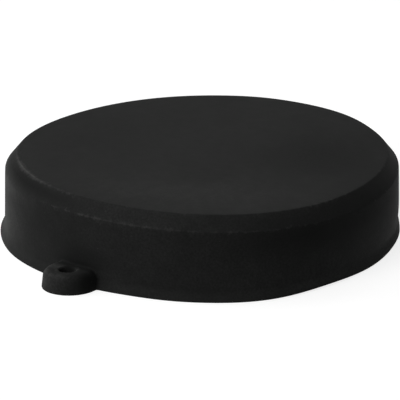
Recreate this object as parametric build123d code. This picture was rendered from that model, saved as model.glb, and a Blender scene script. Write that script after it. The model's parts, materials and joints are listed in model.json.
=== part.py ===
from build123d import *
from math import cos, hypot, radians, sin, tan
import os

# A soft push-on lens cap, moulded in one piece from black silicone rubber: a flat closed face, a bevelled
# shoulder, a short skirt that widens a little towards a flared rim, and a lug at the rim with a hole for a cord.
# Millimetres. The origin is the centre of the open mouth, in the plane of the rim that the cap stands on.
# +Z points up to the closed face, and the lug points along -Y.

# Bore, which grips the lens barrel
bore_diameter = 72.0
mouth_chamfer = 0.4  # lead-in at the bore's mouth

# Closed face and bevelled shoulder
cap_height = 15.5  # from the rim to the outside of the closed face
face_thickness = 2.0
shoulder_drop = 2.5  # how far the bevel comes down from the face
shoulder_run = 2.1  # how far the bevel goes out from the face's edge
face_edge_round = 0.4
shoulder_round = 0.6  # rounding where the bevel meets the skirt
ceiling_round = 0.5  # rounding inside, where the bevel meets the ceiling

# Skirt and rim
skirt_thickness = 2.0  # wall just under the shoulder
skirt_draft = 2.0  # degrees that the outside leans out, going down
rim_flare = 0.7  # how far the rim stands out from the skirt's foot
rim_flare_height = 2.8  # where the flare starts, above the rim
rim_flare_sink = 0.02  # how far inside the skirt the flare's arc starts, so that the two surfaces cross
rim_land = 0.5  # upright edge of the rim, under the flare

# Cord lug and its hole
cord_hole_diameter = 3.0
cord_hole_round = 0.3  # rounding of the hole's two lips
cord_hole_land = 0.05  # flat left between the hole's lip and the hollow at the skirt
lug_height = 3.8
lug_side_wall = 3.5  # rubber on each side of the hole, at the lug's foot
lug_nose_wall = 2.6  # rubber in front of the hole, at the lug's foot
lug_draft = 7.0  # degrees that the lug's side leans in, going up
lug_edge_round = 1.2  # rounding of the lug's upper edge
lug_root_round = 1.0  # hollow where the lug runs into the skirt

# Worked out from the sizes above
skirt_slope = tan(radians(skirt_draft))
bore_radius = bore_diameter / 2
shoulder_radius = bore_radius + skirt_thickness
shoulder_z = cap_height - shoulder_drop
face_radius = shoulder_radius - shoulder_run
ceiling_z = cap_height - face_thickness
foot_radius = shoulder_radius + shoulder_z * skirt_slope
rim_radius = foot_radius + rim_flare


def skirt_radius(z):
    """Outer radius of the skirt at a height, without the flare."""
    return foot_radius - z * skirt_slope


cord_hole_radius = cord_hole_diameter / 2
cord_hole_out = (
    skirt_radius(lug_height)
    + lug_root_round
    + cord_hole_land
    + cord_hole_round
    + cord_hole_radius
)
lug_radius = cord_hole_radius + lug_side_wall
lug_tip_out = cord_hole_out + cord_hole_radius + lug_nose_wall
lug_out = lug_tip_out - lug_radius


def corner(section, x, z):
    """The corner of a section in the XZ plane that lies nearest to x, z."""
    return section.vertices().sort_by_distance(Vector(x, 0, z))[0]


def skirt_and_face():
    """The outside of the cap without its flare, as a solid turned about Z."""
    section = make_face(
        Plane.XZ
        * Polyline(
            (0, 0),
            (foot_radius, 0),
            (shoulder_radius, shoulder_z),
            (face_radius, cap_height),
            (0, cap_height),
            (0, 0),
        )
    )
    section = fillet(corner(section, face_radius, cap_height), face_edge_round)
    section = fillet(corner(section, shoulder_radius, shoulder_z), shoulder_round)
    return revolve(section, Axis.Z)


def flared_rim():
    """A ring that swells out of the skirt in one arc, down to an upright land at the rim."""
    inside = (bore_radius + foot_radius) / 2
    flare_top = (skirt_radius(rim_flare_height) - rim_flare_sink, rim_flare_height)
    down_the_skirt = (sin(radians(skirt_draft)), -cos(radians(skirt_draft)))
    flare = Plane.XZ * TangentArc(flare_top, (rim_radius, rim_land), tangent=down_the_skirt)
    rest = Plane.XZ * Polyline(
        (rim_radius, rim_land),
        (rim_radius, 0),
        (inside, 0),
        (inside, rim_flare_height),
        flare_top,
    )
    return revolve(make_face([*flare.edges(), *rest.edges()]), Axis.Z)


def lug():
    """The lug before it runs into the skirt: a blunt cone with a rounded upper edge, on the rim's plane."""
    top_radius = lug_radius - lug_height * tan(radians(lug_draft))
    section = make_face(
        Plane.XZ
        * Polyline(
            (0, 0),
            (lug_radius, 0),
            (top_radius, lug_height),
            (0, lug_height),
            (0, 0),
        )
    )
    section = fillet(corner(section, top_radius, lug_height), lug_edge_round)
    return Location((0, -lug_out, 0)) * revolve(section, Axis.Z)


def lies_on_skirt(edge):
    """Whether the middle of an edge is on the skirt's outside beside the lug, clear of the rim's plane."""
    middle = edge @ 0.5
    touch = 0.001
    on_the_cone = abs(hypot(middle.X, middle.Y) - skirt_radius(middle.Z)) < touch
    beside_the_lug = abs(middle.X) < lug_radius + touch and middle.Y < 0
    return on_the_cone and beside_the_lug and touch < middle.Z < lug_height + touch


def cavity():
    """The space inside: a bore with a lead-in, then a bevel that keeps the shoulder's wall as thick as the skirt."""
    bevel = hypot(shoulder_run, shoulder_drop)
    # A point of the inner bevel is a point of the outer one, moved in square to it.
    inset_radius = shoulder_radius - skirt_thickness * shoulder_drop / bevel
    inset_z = shoulder_z - skirt_thickness * shoulder_run / bevel
    bore_top = inset_z + (inset_radius - bore_radius) * shoulder_drop / shoulder_run
    ceiling_radius = inset_radius - (ceiling_z - inset_z) * shoulder_run / shoulder_drop
    section = make_face(
        Plane.XZ
        * Polyline(
            (0, 0),
            (bore_radius + mouth_chamfer, 0),
            (bore_radius, mouth_chamfer),
            (bore_radius, bore_top),
            (ceiling_radius, ceiling_z),
            (0, ceiling_z),
            (0, 0),
        )
    )
    section = fillet(corner(section, ceiling_radius, ceiling_z), ceiling_round)
    return revolve(section, Axis.Z)


def cord_hole_lips(body):
    """The two circular edges of the cord hole."""
    near = 0.001
    return [
        edge
        for edge in body.edges().filter_by(GeomType.CIRCLE)
        if abs(edge.radius - cord_hole_radius) < near and abs(edge.arc_center.Y + cord_hole_out) < near
    ]


def lens_cap():
    """The whole cap: outside, lug and flare first, then the bore and the cord hole are taken out."""
    body = skirt_and_face() + lug()
    root = [edge for edge in body.edges() if lies_on_skirt(edge)]
    body = body.fillet(lug_root_round, root)
    body = body + flared_rim()
    body = body - cavity()
    body = body - Location((0, -cord_hole_out, lug_height / 2)) * Cylinder(cord_hole_radius, 2 * lug_height)
    return body.fillet(cord_hole_round, cord_hole_lips(body))


cap = lens_cap()
os.makedirs("parts", exist_ok=True)
export_step(cap, "parts/cap.step")
print("cap volume", round(cap.volume), "mm3, hole centre at y", round(-cord_hole_out, 3))
print("lug tip at y", round(-lug_tip_out, 3), "rim radius", round(rim_radius, 3))
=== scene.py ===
import json
import math

import bpy
import numpy as np
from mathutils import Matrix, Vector


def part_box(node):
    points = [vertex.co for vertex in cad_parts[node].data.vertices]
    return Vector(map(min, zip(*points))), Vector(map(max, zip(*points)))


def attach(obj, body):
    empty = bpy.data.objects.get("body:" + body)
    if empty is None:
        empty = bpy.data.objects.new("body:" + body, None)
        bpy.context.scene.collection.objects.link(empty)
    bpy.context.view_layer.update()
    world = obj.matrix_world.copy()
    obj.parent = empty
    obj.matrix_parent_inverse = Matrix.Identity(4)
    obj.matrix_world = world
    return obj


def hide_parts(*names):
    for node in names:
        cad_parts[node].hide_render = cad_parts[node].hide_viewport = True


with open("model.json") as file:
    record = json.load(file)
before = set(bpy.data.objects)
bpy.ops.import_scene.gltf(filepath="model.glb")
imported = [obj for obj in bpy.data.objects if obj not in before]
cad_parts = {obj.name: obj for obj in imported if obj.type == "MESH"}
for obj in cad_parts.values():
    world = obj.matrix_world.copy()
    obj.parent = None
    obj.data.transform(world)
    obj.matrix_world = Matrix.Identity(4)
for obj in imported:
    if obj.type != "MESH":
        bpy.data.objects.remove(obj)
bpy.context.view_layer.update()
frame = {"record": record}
capLow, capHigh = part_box("cap")
mountOf = {mount["name"]: mount for mount in frame["record"]["mounts"]}
mm = 0.001
print("frame loaded, the cap is", round(capHigh.z / mm, 2), "mm high")

# The cap's own form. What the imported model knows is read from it, and the rest is in millimetres.
capForm = {
    "height": capHigh.z,
    "rimRadius": capHigh.x,
    "boreRadius": mountOf["lens_bore"]["dims"]["r_mm"] * mm,
    "wall": 2.0 * mm,  # skirt just under the shoulder, and the closed face
    "shoulderDrop": 2.5 * mm,
    "shoulderRun": 2.1 * mm,
    "faceEdgeRound": 0.4 * mm,
    "shoulderRound": 0.6 * mm,
    "rimFlare": 0.7 * mm,
    "flareHeight": 2.1 * mm,
    "rimLand": 0.5 * mm,
    "landRound": 0.35 * mm,  # softens the edge between flare and land
    "footRound": 0.2 * mm,  # lower edge, all round the rim and the lug
    "mouthChamfer": 0.4 * mm,
    "mouthRound": 0.15 * mm,
    "ceilingRound": 0.5 * mm,
}
capForm["footRadius"] = capForm["rimRadius"] - capForm["rimFlare"]
capForm["shoulderRadius"] = capForm["boreRadius"] + capForm["wall"]
capForm["shoulderZ"] = capForm["height"] - capForm["shoulderDrop"]
capForm["faceRadius"] = capForm["shoulderRadius"] - capForm["shoulderRun"]
capForm["slope"] = (capForm["footRadius"] - capForm["shoulderRadius"]) / capForm["shoulderZ"]

# The cord lug, a blunt cone that stands on the rim's plane.
lugForm = {
    "holeOut": -mountOf["cord_hole"]["pos_m"][1] - 0.4 * mm,  # a little nearer the skirt than the mount
    "holeAside": 0.12 * mm,
    "holeRadius": mountOf["cord_hole"]["dims"]["r_mm"] * mm,
    "tipOut": -capLow.y - 0.2 * mm,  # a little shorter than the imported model
    "sideWall": 3.6 * mm,  # rubber on each side of the hole
    "height": 3.4 * mm,
    "draft": math.radians(7.0),
    "edgeRound": 1.2 * mm,
    "rootRound": 0.4 * mm,  # hollow where the lug runs into the skirt
    "lipRound": 0.44 * mm,
}
lugForm["radius"] = lugForm["holeRadius"] + lugForm["sideWall"]
lugForm["out"] = lugForm["tipOut"] - lugForm["radius"]

# How fine the grid is. A column is a cut through the wall, and rows run from the face round to the ceiling.
gridForm = {
    "lugGap": math.radians(0.17),  # between columns at the lug
    "farGap": math.radians(1.1),  # between columns away from it
    "lugReach": math.radians(12.0),  # how far the fine columns go
    "easeReach": math.radians(5.0),
    "splitZ": 5.2 * mm,  # above this the outside is plainly round
    "fanZ": 1.0 * mm,  # height inside the wall that the rays fan out from
    "fanTurn": math.radians(14.5),  # most that a column turns outwards, to meet the lug's flank
    "fanAt": math.radians(6.5),  # where it turns most
    "rays": 320,  # in a column
    "fanRows": 64,  # rows that they are thinned to
    "bendShare": 1.2,  # how much rows crowd where the surface bends
    "rayReach": 12.0 * mm,
    "halvings": 44,  # of a ray, to find where it leaves the rubber
    "densitySteps": 7200,  # that the columns' spacing is worked out on
    "upperGap": 0.9 * mm,  # between rows on the face and the upper skirt
    "upperArc": 8,  # steps of a rounding there
    "innerGap": 1.6 * mm,  # the same for the bore and the ceiling
    "innerArc": 5,
}


# What lies inside both forms, the edge between them rounded: the larger distance, but near the edge the
# distance from a line one rounding inside both, less the rounding.
def roundMeet(first, second, rounding):
    reach = np.hypot(np.maximum(first + rounding, 0), np.maximum(second + rounding, 0))
    return np.minimum(np.maximum(first, second), -rounding) + reach


# What lies inside either form, with a hollow where they meet: the smaller distance, but near the meeting the
# rounding, less the distance from a line one rounding outside both.
def roundJoin(first, second, rounding):
    reach = np.hypot(np.maximum(rounding - first, 0), np.maximum(rounding - second, 0))
    return np.maximum(np.minimum(first, second), rounding) - reach


# Radius of the skirt's outside without its flare: a straight line from shoulder to foot.
def skirtRadius(z):
    return capForm["footRadius"] - z * capForm["slope"]


# About how far a point is outside the skirt and lug: the skirt's line plus a parabola for the flare, cut
# off by the land, joined by a hollow to the lug's cone, and cut off by the rim's plane.
def outsideDistance(x, y, z):
    flareSpan = capForm["flareHeight"] - capForm["rimLand"]
    flareSize = capForm["rimRadius"] - skirtRadius(capForm["rimLand"])
    down = np.maximum(capForm["flareHeight"] - z, 0) / flareSpan
    steep = 2 * flareSize * down / flareSpan + capForm["slope"]
    out = np.hypot(x, y)
    skirt = (out - skirtRadius(z) - flareSize * down**2) / np.hypot(1, steep)
    skirt = roundMeet(skirt, out - capForm["rimRadius"], capForm["landRound"])
    side = np.hypot(x, y + lugForm["out"]) - lugForm["radius"] + z * math.tan(lugForm["draft"])
    lug = roundMeet(side * math.cos(lugForm["draft"]), z - lugForm["height"], lugForm["edgeRound"])
    return roundMeet(roundJoin(skirt, lug, lugForm["rootRound"]), -z, capForm["footRound"])


# A chain of straight runs through (r, z, rounding) corners. At a corner the runs stop short by the rounding
# times the tangent of half the turn, and an arc of that rounding joins them.
def roundedOutline(corners, gap, arcSteps):
    spots = np.array([corner[:2] for corner in corners], float)
    ways = np.diff(spots, axis=0)
    lengths = np.linalg.norm(ways, axis=1)
    ways = ways / lengths[:, None]
    pieces = [spots[:1]]
    for number in range(1, len(corners)):
        start = pieces[-1][-1]
        if number == len(corners) - 1:
            end, arc = spots[-1], None
        else:
            before, after = ways[number - 1], ways[number]
            turn = math.atan2(before[0] * after[1] - before[1] * after[0], before @ after)
            rounding = corners[number][2]
            end = spots[number] - before * rounding * math.tan(abs(turn) / 2)
            centre = end + math.copysign(rounding, turn) * np.array([-before[1], before[0]])
            angles = np.linspace(0, turn, arcSteps + 1)[1:, None]
            spoke = end - centre
            crossed = np.array([-spoke[1], spoke[0]])
            arc = centre + np.cos(angles) * spoke + np.sin(angles) * crossed
        steps = max(1, math.ceil(np.linalg.norm(end - start) / gap))
        pieces.append(start + np.linspace(0, 1, steps + 1)[1:, None] * (end - start))
        if arc is not None:
            pieces.append(arc)
    return np.concatenate(pieces)


# Angles of the columns from the lug, evenly spaced in a density that is high at the lug and eases off.
def columnAngles():
    fine = np.linspace(-math.pi, math.pi, gridForm["densitySteps"] + 1)
    away = np.clip((np.abs(fine) - gridForm["lugReach"]) / gridForm["easeReach"], 0, 1)
    eased = away * away * (3 - 2 * away)
    density = (1 - eased) / gridForm["lugGap"] + eased / gridForm["farGap"]
    amount = np.concatenate([[0], np.cumsum((density[1:] + density[:-1]) / 2 * np.diff(fine))])
    count = int(amount[-1])
    return np.interp(np.arange(count) * amount[-1] / count, amount, fine)


# Rows of points spread along each column by its length, crowded where it bends. All the columns are put end
# to end, so that one interpolation does them all.
def alongColumns(points, rows):
    steps = np.diff(points, axis=1)
    lengths = np.linalg.norm(steps, axis=2)
    ways = steps / lengths[..., None]
    bends = np.arccos(np.clip((ways[:, 1:] * ways[:, :-1]).sum(axis=2), -1, 1))
    bends = np.pad(bends, ((0, 0), (0, 1)))
    cost = lengths / lengths.sum(axis=1, keepdims=True)
    cost = cost + gridForm["bendShare"] * bends / bends.sum(axis=1, keepdims=True)
    amount = np.pad(np.cumsum(cost, axis=1), ((0, 0), (1, 0)))
    amount = amount / amount[:, -1:]
    start = 2.0 * np.arange(len(points))[:, None]  # amounts run to one, so the columns stay apart
    wanted = np.linspace(0, 1, rows)[None, :] + start
    known = (amount + start).ravel()
    return np.stack([np.interp(wanted, known, points[..., axis].ravel()) for axis in range(3)], axis=2)


# The (r, z) outline turned about the cap's axis, one copy at each column's angle from the lug.
def turned(outline, angles):
    across, up = outline[None, :, 0], outline[None, :, 1]
    x = across * np.sin(angles)[:, None]
    y = -across * np.cos(angles)[:, None]
    return np.stack([x, y, np.broadcast_to(up, x.shape)], axis=2)


# The outside below the split: rays fan from a point inside the wall, from the split down to the rim's
# plane, and halving finds where each one leaves the rubber.
def castLower(start, ways, meets):
    top = np.arctan2(gridForm["splitZ"] - gridForm["fanZ"], meets)
    share = np.linspace(0, 1, gridForm["rays"])[None, :]
    rise = top[:, None] * (1 - share) - math.pi / 2 * share
    flat, up = np.cos(rise), np.sin(rise)
    near = np.zeros_like(rise)
    far = np.full_like(rise, gridForm["rayReach"])
    for _ in range(gridForm["halvings"]):
        middle = (near + far) / 2
        x = start[:, None, 0] + middle * flat * ways[:, None, 0]
        y = start[:, None, 1] + middle * flat * ways[:, None, 1]
        z = gridForm["fanZ"] + middle * up
        inside = outsideDistance(x, y, z) < 0
        near = np.where(inside, middle, near)
        far = np.where(inside, far, middle)
    return np.stack([x, y, z], axis=2)


# All the rows of every column: face and skirt turned plainly, then the cast part with the lug, then the
# rim's underside, the bore and the ceiling turned plainly again. With a share that is a column's angle over
# the one that turns most, its heading is its angle plus the fan's turn times the share and times e to the
# power of half of one less the share's square.
def capGrid():
    angles = columnAngles()
    middleRadius = (capForm["boreRadius"] + capForm["footRadius"]) / 2
    start = middleRadius * np.stack([np.sin(angles), -np.cos(angles)], axis=1)
    share = angles / gridForm["fanAt"]
    heading = angles + gridForm["fanTurn"] * share * np.exp((1 - share**2) / 2)
    ways = np.stack([np.sin(heading), -np.cos(heading)], axis=1)
    splitRadius = skirtRadius(gridForm["splitZ"])
    along = (start * ways).sum(axis=1)
    meets = -along + np.sqrt(along**2 + splitRadius**2 - middleRadius**2)
    atSplit = start + meets[:, None] * ways
    upperAngles = np.arctan2(atSplit[:, 0], -atSplit[:, 1])

    face = [(0, capForm["height"], 0), (capForm["faceRadius"], capForm["height"], capForm["faceEdgeRound"])]
    shoulder = [(capForm["shoulderRadius"], capForm["shoulderZ"], capForm["shoulderRound"])]
    split = [(splitRadius, gridForm["splitZ"], 0)]
    upper = roundedOutline(face + shoulder + split, gridForm["upperGap"], gridForm["upperArc"])

    bevel = math.hypot(capForm["shoulderRun"], capForm["shoulderDrop"])
    insetRadius = capForm["shoulderRadius"] - capForm["wall"] * capForm["shoulderDrop"] / bevel
    insetZ = capForm["shoulderZ"] - capForm["wall"] * capForm["shoulderRun"] / bevel
    bevelSlope = capForm["shoulderDrop"] / capForm["shoulderRun"]
    boreTop = insetZ + (insetRadius - capForm["boreRadius"]) * bevelSlope
    ceilingZ = capForm["height"] - capForm["wall"]
    ceilingRadius = insetRadius - (ceilingZ - insetZ) / bevelSlope
    mouth = capForm["boreRadius"] + capForm["mouthChamfer"]
    inner = roundedOutline(
        [
            (middleRadius, 0, 0),
            (mouth, 0, capForm["mouthRound"]),
            (capForm["boreRadius"], capForm["mouthChamfer"], capForm["mouthRound"]),
            (capForm["boreRadius"], boreTop, capForm["ceilingRound"]),
            (ceilingRadius, ceilingZ, capForm["ceilingRound"]),
            (0, ceilingZ, 0),
        ],
        gridForm["innerGap"],
        gridForm["innerArc"],
    )
    lower = alongColumns(castLower(start, ways, meets), gridForm["fanRows"])
    return np.concatenate([turned(upper, upperAngles), lower[:, 1:], turned(inner, angles)[:, 1:]], axis=1)


# A mesh from columns × rows of points whose first and last rows are single points: the poles.
def closedMesh(name, grid):
    columns, rows = grid.shape[:2]
    body = grid[:, 1:-1].reshape(-1, 3)
    points = np.concatenate([body, grid[:1, 0], grid[:1, -1]])
    count = rows - 2
    here = np.arange(columns)[:, None] * count + np.arange(count)[None, :]
    beside = np.roll(here, -1, axis=0)
    quads = np.stack([here[:, :-1], here[:, 1:], beside[:, 1:], beside[:, :-1]], axis=2).reshape(-1, 4)
    topPole, endPole = len(body), len(body) + 1
    first = np.stack([np.full(columns, topPole), here[:, 0], beside[:, 0]], axis=1)
    last = np.stack([here[:, -1], np.full(columns, endPole), beside[:, -1]], axis=1)
    mesh = bpy.data.meshes.new(name)
    mesh.from_pydata(points.tolist(), [], quads.tolist() + first.tolist() + last.tolist())
    mesh.update()
    piece = bpy.data.objects.new(name, mesh)
    bpy.context.scene.collection.objects.link(piece)
    return piece


# The solid that cuts the cord hole.
cutterForm = {
    "columns": 96,
    "gap": 0.4 * mm,
    "arc": 7,
    "lean": 0.06 * mm,  # rise of its cone past each lip, so that it crosses the lug's faces cleanly
    "past": 0.5 * mm,  # how far it stands out of them
}


# What the cord hole takes away: a cylinder that widens by a quarter round at the lug's two faces.
def holeCutter():
    radius, lip, top = lugForm["holeRadius"], lugForm["lipRound"], lugForm["height"]
    wide, lean, past = radius + 2 * lip, cutterForm["lean"], cutterForm["past"]
    outline = roundedOutline(
        [
            (0, top + past, 0),
            (wide, top + past, 0),
            (wide, top + lean, 0),
            (radius, top, lip),
            (radius, 0, lip),
            (wide, -lean, 0),
            (wide, -past, 0),
            (0, -past, 0),
        ],
        cutterForm["gap"],
        cutterForm["arc"],
    )
    grid = turned(outline, np.linspace(0, 2 * math.pi, cutterForm["columns"] + 1)[:-1])
    grid[..., 0] += lugForm["holeAside"]
    grid[..., 1] -= lugForm["holeOut"]
    return closedMesh("hole_cutter", grid)


# Takes the cutter out of the piece, keeps the result as its mesh and drops the cutter.
def cutHole(piece):
    cutter = holeCutter()
    cut = piece.modifiers.new("cord hole", "BOOLEAN")
    cut.operation = "DIFFERENCE"
    cut.solver = "EXACT"
    cut.object = cutter
    depsgraph = bpy.context.evaluated_depsgraph_get()
    made = bpy.data.meshes.new_from_object(piece.evaluated_get(depsgraph))
    piece.modifiers.clear()
    plain = piece.data
    piece.data = made
    made.name = plain.name
    bpy.data.meshes.remove(plain)
    bpy.data.objects.remove(cutter)


# How the soft cap lies: its skirt eased a little out of round, its face twisted, and its edges pushed in, out,
# up or down in places. Directions are round the cap from the lug, anticlockwise as seen from above.
asItLies = {
    "waves": [
        (3, 0.18 * mm, math.radians(157.5)),  # crests round the cap, size at the skirt, first crest
        (4, 0.34 * mm, math.radians(143.6)),
    ],
    "twist": 0.49 * mm,  # rise and fall at the skirt's radius, on the level of the face
    "twistTo": math.radians(172.4),  # one of the two ways that rise
    "sways": [
        # direction and reach in degrees, how far out, its height, how far up or down it reaches
        (52, 14, 0.48 * mm, 0.0, 4.5 * mm),
        (112, 14, -0.35 * mm, 0.0, 3.0 * mm),
        (128, 9, -0.45 * mm, 0.0, 2.5 * mm),
        (17, 9, -0.25 * mm, 0.0, 4.5 * mm),
        (-28, 12, 0.25 * mm, 0.0, 4.5 * mm),
        (-54, 14, 0.20 * mm, 0.0, 1.8 * mm),
        (147, 13, -0.50 * mm, 15.5 * mm, 4.5 * mm),
        (197, 12, 0.3 * mm, 15.5 * mm, 4.5 * mm),
        (-78, 16, 0.2 * mm, 15.5 * mm, 4.5 * mm),
        (-34, 20, -0.45 * mm, 15.5 * mm, 1.8 * mm),
    ],
    "lifts": [
        # direction and reach in degrees, how far up, its height, how far up or down it reaches
        (73, 13, 0.36 * mm, 0.0, 5.0 * mm),
        (98, 32, -0.50 * mm, 13.0 * mm, 1.9 * mm),
    ],
    "liftFade": 4,  # a lift fades towards the axis as this power of the distance
    "lugLean": -0.09,  # how far the lug leans round the cap, for each length that it stands out
}


# A bell: e to the power of minus the square of the distance over the width.
def bump(away, width):
    return np.exp(-((away / width) ** 2))


# Angle of each point round the cap from the lug, less a direction in degrees, kept within half a turn.
def turnFrom(points, direction=0.0):
    turn = np.arctan2(points[:, 0], -points[:, 1]) - math.radians(direction)
    return (turn + math.pi) % (2 * math.pi) - math.pi


# Scales each point's distance from the axis by one plus a sum of cosines of its angle and of bells in angle
# and height. Then raises it by the twist times a cosine of twice its angle, the square of its distance and its
# height's share, and by the lifts, which are bells in angle and height. The twist leaves the rim on its plane.
# What stands out past the rim leans sideways in proportion.
def settle(points):
    turn = turnFrom(points)
    out = np.hypot(points[:, 0], points[:, 1]) / capForm["shoulderRadius"]
    push = sum(size * np.cos(count * (turn - crest)) for count, size, crest in asItLies["waves"])
    for direction, reach, size, height, along in asItLies["sways"]:
        near = bump(turnFrom(points, direction), math.radians(reach))
        push = push + size * near * bump(points[:, 2] - height, along)
    rise = asItLies["twist"] * np.cos(2 * (turn - asItLies["twistTo"]))
    fade = np.minimum(out, 1) ** asItLies["liftFade"]
    settled = points.copy()
    settled[:, :2] *= 1 + push[:, None] / capForm["shoulderRadius"]
    settled[:, 2] += rise * out**2 * points[:, 2] / capForm["height"]
    for direction, reach, size, height, along in asItLies["lifts"]:
        near = bump(turnFrom(points, direction), math.radians(reach))
        settled[:, 2] += size * near * bump(points[:, 2] - height, along) * fade
    settled[:, 0] += asItLies["lugLean"] * np.maximum(-points[:, 1] - capForm["rimRadius"], 0)
    return settled


def meshPoints(mesh):
    points = np.empty(len(mesh.vertices) * 3)
    mesh.vertices.foreach_get("co", points)
    return points.reshape(-1, 3)


# Where dust has settled, where the edges are worn, and where highlights, reflections and shade are painted
# into the tone. Directions and reaches round the cap are in degrees from the lug, the other lengths in
# millimetres, and an amount of one is the full pale tone.
dustWearAndLightForm = {
    "plainDust": 0.215,
    "dustAndPaintedLight": [
        (100, 38.7, 3.2, 30, 3.9, 0.44),  # direction, out, up, reach round, reach across, amount
        # painted reflection of the room along the skirt's right edge
        (122, 38.2, 6.0, 9, 5.5, 0.70),
        # painted shade under the shoulder on the right, this line and the next
        (66, 38.2, 11.0, 16, 3.0, -0.14),
        (98, 38.0, 11.3, 15, 3.0, -0.26),
        # painted reflection and light on the left of the skirt, brightest at its edge
        (-47, 38.4, 5.0, 16, 6.0, 0.98),
        (-44, 38.1, 11.9, 17, 1.5, 0.60),
        (-12, 38.2, 10.0, 12, 4.5, -0.08),
        (-34, 37.0, 14.4, 26, 1.3, -0.26),
        (70, 37.0, 14.3, 24, 1.3, -0.05),
        (37, 27.0, 15.5, 46, 8.0, 0.17),
        (118, 24.0, 15.5, 34, 13.0, -0.16),
        (-70, 24.0, 15.5, 45, 13.0, -0.07),
        (217, 24.0, 15.5, 60, 12.0, -0.03),
        # painted highlight on the lug's upper left edge
        (-5, 41.0, 3.0, 4, 1.0, 0.62),
        (-4, 43.8, 1.8, 6, 1.6, 0.45),
        (1.4, 43.7, 2.8, 1.2, 0.5, 0.50),
        # painted light on the far wall inside the cord hole
        (1.8, 40.0, 2.8, 1.4, 0.7, 0.45),
        # painted shade in the hollow right of the lug
        (6.2, 41.0, 1.8, 3, 1.8, -0.30),
        # painted shade along the lug's root
        (1, 38.9, 3.7, 7, 0.7, -0.22),
        (13, 39.2, 2.0, 5, 2.5, 0.07),
        # painted shade on the skirt above the lug
        (2, 38.5, 5.0, 10, 2.4, -0.14),
    ],
    "faceEdgeWidth": 0.28,
    "shoulderEdgeWidth": 0.27,
    "plainWear": 0.12,
    "faceEdge": [
        # the face edge's bright line on the left is a painted highlight, partly wear
        (-34, 15, 0.62),  # direction, reach round, amount
        (-10, 12, 0.16),
        (73, 6, 0.30),
        (190, 40, 0.10),
    ],
    "shoulderEdge": [
        # the line along the shoulder edge at the front is a painted highlight, partly wear
        (3, 12, 0.20),
        (20, 12, 0.14),
        (45, 22, 0.13),
        (-150, 30, 0.10),
    ],
    # painted highlight round the cord hole's lip, partly wear, and on the lug's upper left edge
    "lugLip": (0.20, 0.34),  # width and amount
    "lugEdge": (0.45, 0.36),
    "lugEdgeWay": (-45, 70),  # direction round the lug from its nose, and reach
}


# Dust and painted light is the plain amount plus bells in direction and in distance across, each times its own
# amount; bells with a negative amount make it darker, some as painted shade.
def dustAndPaintedLightOf(points):
    out, up = np.hypot(points[:, 0], points[:, 1]) / mm, points[:, 2] / mm
    dustAndPaintedLight = np.full(len(points), dustWearAndLightForm["plainDust"])
    for direction, spotOut, spotUp, reach, across, amount in dustWearAndLightForm["dustAndPaintedLight"]:
        near = bump(turnFrom(points, direction), math.radians(reach))
        dustAndPaintedLight += amount * near * bump(np.hypot(out - spotOut, up - spotUp), across)
    return np.clip(dustAndPaintedLight, 0, 1)


# Wear and painted highlight of one edge is a bell in the distance from it, times the plain amount plus bells
# in direction.
def edgeWearAndHighlight(points, edgeOut, edgeUp, places, width):
    amount = dustWearAndLightForm["plainWear"]
    for direction, reach, more in places:
        amount = amount + more * bump(turnFrom(points, direction), math.radians(reach))
    away = np.hypot(np.hypot(points[:, 0], points[:, 1]) - edgeOut, points[:, 2] - edgeUp)
    return amount * bump(away / mm, width)


# Painted highlights on the lug, partly wear: a bell in the distance from the hole's lip, and one in the
# distance from the upper edge, which is also a bell in the direction round the lug.
def lugWearAndHighlight(points):
    x, y, up = points[:, 0], points[:, 1] + lugForm["holeOut"], points[:, 2] - lugForm["height"]
    lip = np.hypot(x - lugForm["holeAside"], y) - lugForm["holeRadius"] - lugForm["lipRound"]
    width, amount = dustWearAndLightForm["lugLip"]
    lipWearAndHighlight = amount * bump(np.hypot(lip, up) / mm, width)
    y = points[:, 1] + lugForm["out"]
    midArc = lugForm["edgeRound"] * (1 - math.sqrt(0.5))  # in and down from the edge's corner
    side = np.hypot(x, y) - lugForm["radius"] + lugForm["height"] * math.tan(lugForm["draft"]) + midArc
    way, reach = np.radians(dustWearAndLightForm["lugEdgeWay"])
    width, amount = dustWearAndLightForm["lugEdge"]
    lugEdgeHighlight = amount * bump(np.hypot(side, up + midArc) / mm, width)
    return np.maximum(lipWearAndHighlight, lugEdgeHighlight * bump(np.arctan2(x, -y) - way, reach))


# Puts dust, wear, painted highlights and painted shade into the mesh, a value for each point.
def markFinish(mesh, points):
    form, wear = capForm, dustWearAndLightForm
    face = edgeWearAndHighlight(points, form["faceRadius"], form["height"], wear["faceEdge"], wear["faceEdgeWidth"])
    shoulder = edgeWearAndHighlight(
        points, form["shoulderRadius"], form["shoulderZ"], wear["shoulderEdge"], wear["shoulderEdgeWidth"]
    )
    wearAndHighlight = np.maximum(np.maximum(face, shoulder), lugWearAndHighlight(points))
    for name, values in (("dustAndPaintedLight", dustAndPaintedLightOf(points)), ("wearAndHighlight", wearAndHighlight)):
        layer = mesh.attributes.new(name, "FLOAT", "POINT")
        layer.data.foreach_set("value", values.astype(np.float32))


def makeCap():
    cap = closedMesh("cap_rubber", capGrid())
    cutHole(cap)
    mesh = cap.data
    points = meshPoints(mesh)
    markFinish(mesh, points)
    mesh.vertices.foreach_set("co", settle(points).ravel())
    mesh.polygons.foreach_set("use_smooth", np.ones(len(mesh.polygons), bool))
    mesh.update()
    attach(cap, "root")
    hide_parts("cap")
    return cap


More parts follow.
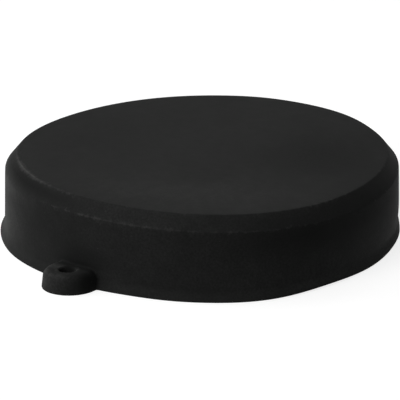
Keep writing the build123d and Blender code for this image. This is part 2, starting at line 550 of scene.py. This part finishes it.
# The rubber's finish, with painted light and shade. A noise has its features' size, its detail and its
# roughness. A swing is what a noise's dips and peaks multiply the dust and painted light by, or add to the
# wear and painted highlight.
rubberLook = {
    "cleanTone": (0.0056, 0.0059, 0.0057, 1),
    # the dusty and worn tones also serve as painted highlight and reflection, and the clean tone as painted
    # shade where the dust amount drops
    "dustAndLightTone": (0.0450, 0.0456, 0.0448, 1),
    "wearAndHighlightTone": (0.050, 0.050, 0.049, 1),
    "speckTone": (0.045, 0.045, 0.044, 1),
    "roughness": (0.74, 0.86),
    "specular": 0.05,
    "grain": (0.40 * mm, 2, 0.6),
    "grainSwing": (0.6, 1.4),
    "mottle": (2.2 * mm, 4, 0.6),
    "mottleSwing": (0.85, 1.15),
    "patches": (9 * mm, 3, 0.5),
    "patchesSwing": (0.85, 1.15),
    "wear": (1.0 * mm, 4, 0.7),
    "wearSwing": (-0.33, 0.17),
    # the same values set where the painted highlights on the edges show
    "wearAndHighlightFrom": (0.1, 0.7),  # wear at which the edge starts to show, and at which it is bare
    "noiseRange": (0.3, 0.7),  # where nearly all of a noise lies
    "speckCell": 2.6 * mm,
    "speckSize": 0.16 * mm,
    "speckShare": (0.5, 1.0),  # cells below the first have none
    "grainDepth": 0.035 * mm,
    "grainStrength": 0.5,
    "waveDepth": 0.03 * mm,
    "waveStrength": 0.3,
}


# The node tree of a new material or world, emptied.
def emptyTree(owner):
    owner.use_nodes = True
    owner.node_tree.nodes.clear()
    return owner.node_tree


# A node with its settings and its inputs' values; an input given a socket is linked to it.
def addNode(tree, kind, inputs=None, **settings):
    node = tree.nodes.new(kind)
    for name, value in settings.items():
        setattr(node, name, value)
    for name, value in (inputs or {}).items():
        if isinstance(value, bpy.types.NodeSocket):
            tree.links.new(value, node.inputs[name])
        else:
            node.inputs[name].default_value = value
    return node


def rubberMaterial():
    look = rubberLook
    material = bpy.data.materials.new("black_silicone_rubber")
    tree = emptyTree(material)
    place = addNode(tree, "ShaderNodeTexCoord").outputs["Object"]

    def noise(name):
        size, detail, roughness = look[name]
        inputs = {"Vector": place, "Scale": 1 / size, "Detail": detail, "Roughness": roughness}
        return addNode(tree, "ShaderNodeTexNoise", inputs).outputs["Fac"]

    def spread(value, low, high, newLow=0.0, newHigh=1.0):
        inputs = {"Value": value, "From Min": low, "From Max": high, "To Min": newLow, "To Max": newHigh}
        return addNode(tree, "ShaderNodeMapRange", inputs).outputs["Result"]

    def swing(value, name):
        return spread(value, *look["noiseRange"], *look[name])

    def combine(operation, first, second):
        return addNode(tree, "ShaderNodeMath", {0: first, 1: second}, operation=operation).outputs[0]

    def mixTone(share, first, second):
        return addNode(tree, "ShaderNodeMix", {0: share, 6: first, 7: second}, data_type="RGBA").outputs[2]

    def attribute(name):
        return addNode(tree, "ShaderNodeAttribute", attribute_name=name).outputs["Fac"]

    grain, mottle, patches = noise("grain"), noise("mottle"), noise("patches")

    # dust gathers in patches: its amount is scaled by the three patterns, which are all about one; the painted
    # highlights, reflections and shade that share the attribute are scaled with it
    uneven = combine("MULTIPLY", swing(patches, "patchesSwing"), swing(mottle, "mottleSwing"))
    uneven = combine("MULTIPLY", uneven, swing(grain, "grainSwing"))
    tone = mixTone(combine("MULTIPLY", attribute("dustAndPaintedLight"), uneven), look["cleanTone"], look["dustAndLightTone"])

    # an edge takes the worn tone, which is wear and painted highlight, where its value is more than a fine
    # pattern takes off
    broken = combine("ADD", attribute("wearAndHighlight"), swing(noise("wear"), "wearSwing"))
    tone = mixTone(spread(broken, *look["wearAndHighlightFrom"]), tone, look["wearAndHighlightTone"])

    # specks sit in some of the cells, a dot at the cell's point
    cells = addNode(
        tree, "ShaderNodeTexVoronoi", {"Vector": place, "Scale": 1 / look["speckCell"], "Randomness": 1.0}
    )
    near = spread(cells.outputs["Distance"], look["speckSize"] / look["speckCell"], 0, 0, 1)
    chosen = addNode(tree, "ShaderNodeSeparateColor", {"Color": cells.outputs["Color"]}).outputs["Red"]
    tone = mixTone(combine("MULTIPLY", near, spread(chosen, *look["speckShare"])), tone, look["speckTone"])

    wave = addNode(
        tree,
        "ShaderNodeBump",
        {"Height": mottle, "Distance": look["waveDepth"], "Strength": look["waveStrength"]},
    )
    fine = addNode(
        tree,
        "ShaderNodeBump",
        {
            "Height": grain,
            "Distance": look["grainDepth"],
            "Strength": look["grainStrength"],
            "Normal": wave.outputs["Normal"],
        },
    )
    shader = addNode(
        tree,
        "ShaderNodeBsdfPrincipled",
        {
            "Base Color": tone,
            "Roughness": swing(grain, "roughness"),
            "Specular IOR Level": look["specular"],
            "Normal": fine.outputs["Normal"],
        },
    )
    addNode(tree, "ShaderNodeOutputMaterial", {"Surface": shader.outputs["BSDF"]})
    return material


cap = makeCap()
cap.data.materials.append(rubberMaterial())
print("cap made of", len(cap.data.polygons), "faces")

def wayTo(azimuth, elevation):
    flat = math.cos(elevation)
    return np.array([math.sin(azimuth) * flat, -math.cos(azimuth) * flat, math.sin(elevation)])


# Stands a camera or lamp at a spot and turns it to look at another.
def standLooking(name, data, spot, aim):
    thing = bpy.data.objects.new(name, data)
    bpy.context.scene.collection.objects.link(thing)
    thing.location = spot
    thing.rotation_mode = "QUATERNION"
    thing.rotation_quaternion = Vector(aim - spot).to_track_quat("-Z", "Y")
    return thing


# Where the photograph was taken from.
viewpoint = {
    "azimuth": math.radians(36.9),
    "elevation": math.radians(20.75),
    "distance": 380 * mm,
    "lens": 174.0,
    "sensor": 36.0,
    "clip": (0.01, 20.0),
    "aimUp": 4.72 * mm,  # the picture's middle, from the middle of the rim
    "aimRight": -0.49 * mm,
}


def makeCamera():
    back = wayTo(viewpoint["azimuth"], viewpoint["elevation"])
    right = wayTo(viewpoint["azimuth"] + math.pi / 2, 0)
    up = np.cross(back, right)
    aim = up * viewpoint["aimUp"] + right * viewpoint["aimRight"]
    data = bpy.data.cameras.new("camera")
    data.lens = viewpoint["lens"]
    data.sensor_width = viewpoint["sensor"]
    data.clip_start, data.clip_end = viewpoint["clip"]
    bpy.context.scene.camera = standLooking("camera", data, back * viewpoint["distance"], aim)


# Soft studio light: power, size and direction of each lamp, and how bright the rest of the room is.
studio = {
    "floorRadius": 3.0,
    "floorSides": 64,
    "floorTone": (0.35, 0.35, 0.35, 1),
    "floorGlow": 0.80,
    "room": 0.134,
    "lamps": {
        "top left": (-60, 65, 1.0, 0.8, 2.4),
        "back": (217, 55, 1.0, 0.7, 0.6),
        "left": (-60, 20, 1.0, 0.6, 3.4),
        "left front": (-10, 30, 1.0, 0.6, 4.6),
    },
}


def makeLamps():
    for name, (azimuth, elevation, distance, width, watts) in studio["lamps"].items():
        data = bpy.data.lights.new(name, "AREA")
        data.shape = "DISK"
        data.size = width
        data.energy = watts
        spot = wayTo(math.radians(azimuth), math.radians(elevation)) * distance
        standLooking(name, data, spot, np.zeros(3))


# One for a camera, glossy or transmission ray, and nothing for the rest.
def seenDirectly(tree):
    path = addNode(tree, "ShaderNodeLightPath").outputs
    either = addNode(tree, "ShaderNodeMath", {0: path["Is Camera Ray"], 1: path["Is Glossy Ray"]})
    inputs = {0: either.outputs[0], 1: path["Is Transmission Ray"]}
    return addNode(tree, "ShaderNodeMath", inputs, use_clamp=True).outputs[0]


def makeRoom():
    world = bpy.data.worlds.new("room")
    bpy.context.scene.world = world
    tree = emptyTree(world)
    strength = addNode(
        tree, "ShaderNodeMapRange", {"Value": seenDirectly(tree), "To Min": studio["room"], "To Max": 1.0}
    )
    background = addNode(
        tree, "ShaderNodeBackground", {"Color": (1, 1, 1, 1), "Strength": strength.outputs["Result"]}
    )
    addNode(tree, "ShaderNodeOutputWorld", {"Surface": background.outputs["Background"]})


# A flat disc, white where it is seen, with the cap's shadow left on it.
def makeFloor():
    turns = np.linspace(0, 2 * math.pi, studio["floorSides"] + 1)[:-1]
    ring = np.stack([np.cos(turns), np.sin(turns), 0 * turns], axis=1) * studio["floorRadius"]
    mesh = bpy.data.meshes.new("floor")
    mesh.from_pydata(ring.tolist(), [], [list(range(len(ring)))])
    floor = bpy.data.objects.new("floor", mesh)
    bpy.context.scene.collection.objects.link(floor)
    material = bpy.data.materials.new("white_paper")
    tree = emptyTree(material)
    matte = addNode(tree, "ShaderNodeBsdfDiffuse", {"Color": studio["floorTone"]})
    glow = addNode(
        tree, "ShaderNodeMapRange", {"Value": seenDirectly(tree), "To Min": 0.0, "To Max": studio["floorGlow"]}
    )
    light = addNode(tree, "ShaderNodeEmission", {"Strength": glow.outputs["Result"]})
    both = addNode(tree, "ShaderNodeAddShader", {0: matte.outputs["BSDF"], 1: light.outputs["Emission"]})
    addNode(tree, "ShaderNodeOutputMaterial", {"Surface": both.outputs["Shader"]})
    mesh.materials.append(material)


makeCamera()
makeLamps()
makeRoom()
makeFloor()
bpy.context.scene.view_settings.view_transform = "Standard"
print("camera, light and floor made")

bpy.context.view_layer.update()
